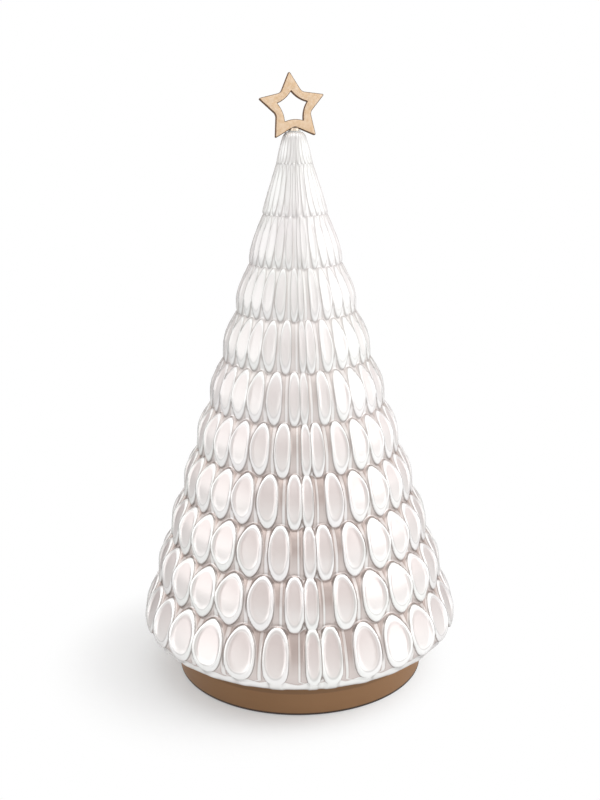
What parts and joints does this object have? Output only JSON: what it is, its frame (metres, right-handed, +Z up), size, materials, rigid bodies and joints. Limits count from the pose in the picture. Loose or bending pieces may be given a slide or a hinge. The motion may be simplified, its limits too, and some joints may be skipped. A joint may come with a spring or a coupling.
{
  "type": "tealight holder",
  "caption": "Tealight holder: a lift-off opal glass Christmas tree with oval facets and an open metal star, on a round bronze-painted base with a candle cup.",
  "frame": {"origin": "middle of the underside of the foot pad", "axes": "+Z up along the axis of the tree, -Y towards the front, which the star faces"},
  "size_m": [0.179, 0.1786, 0.3316],
  "materials": {
    "opal_glass": "pearl lustre, softly glossy",
    "bronze_paint": "matte",
    "champagne_metal": "matte, fine grain",
    "zinc_steel": "plated",
    "clear_silicone": "satin",
    "fibreboard": "raw",
    "black_felt": "felted"
  },
  "bodies": {
    "base": {"foot_pad": "black_felt", "base_board": "fibreboard", "base_pan": "bronze_paint", "centring_plate": "bronze_paint", "candle_cup": "champagne_metal", "cup_screw": "zinc_steel", "cup_washer": "zinc_steel", "cup_nut": "zinc_steel"},
    "tree": {"glass_tree": "opal_glass", "tip_grommet": "clear_silicone", "star_pin": "champagne_metal", "star_plate": "champagne_metal", "pin_washer": "zinc_steel", "pin_nut": "zinc_steel"}
  },
  "joints": [
    {"name": "lift_glass", "type": "slide", "parent": "base", "child": "tree", "axis": [0, 0, 1], "range_m": [0, 0.06]}
  ]
}
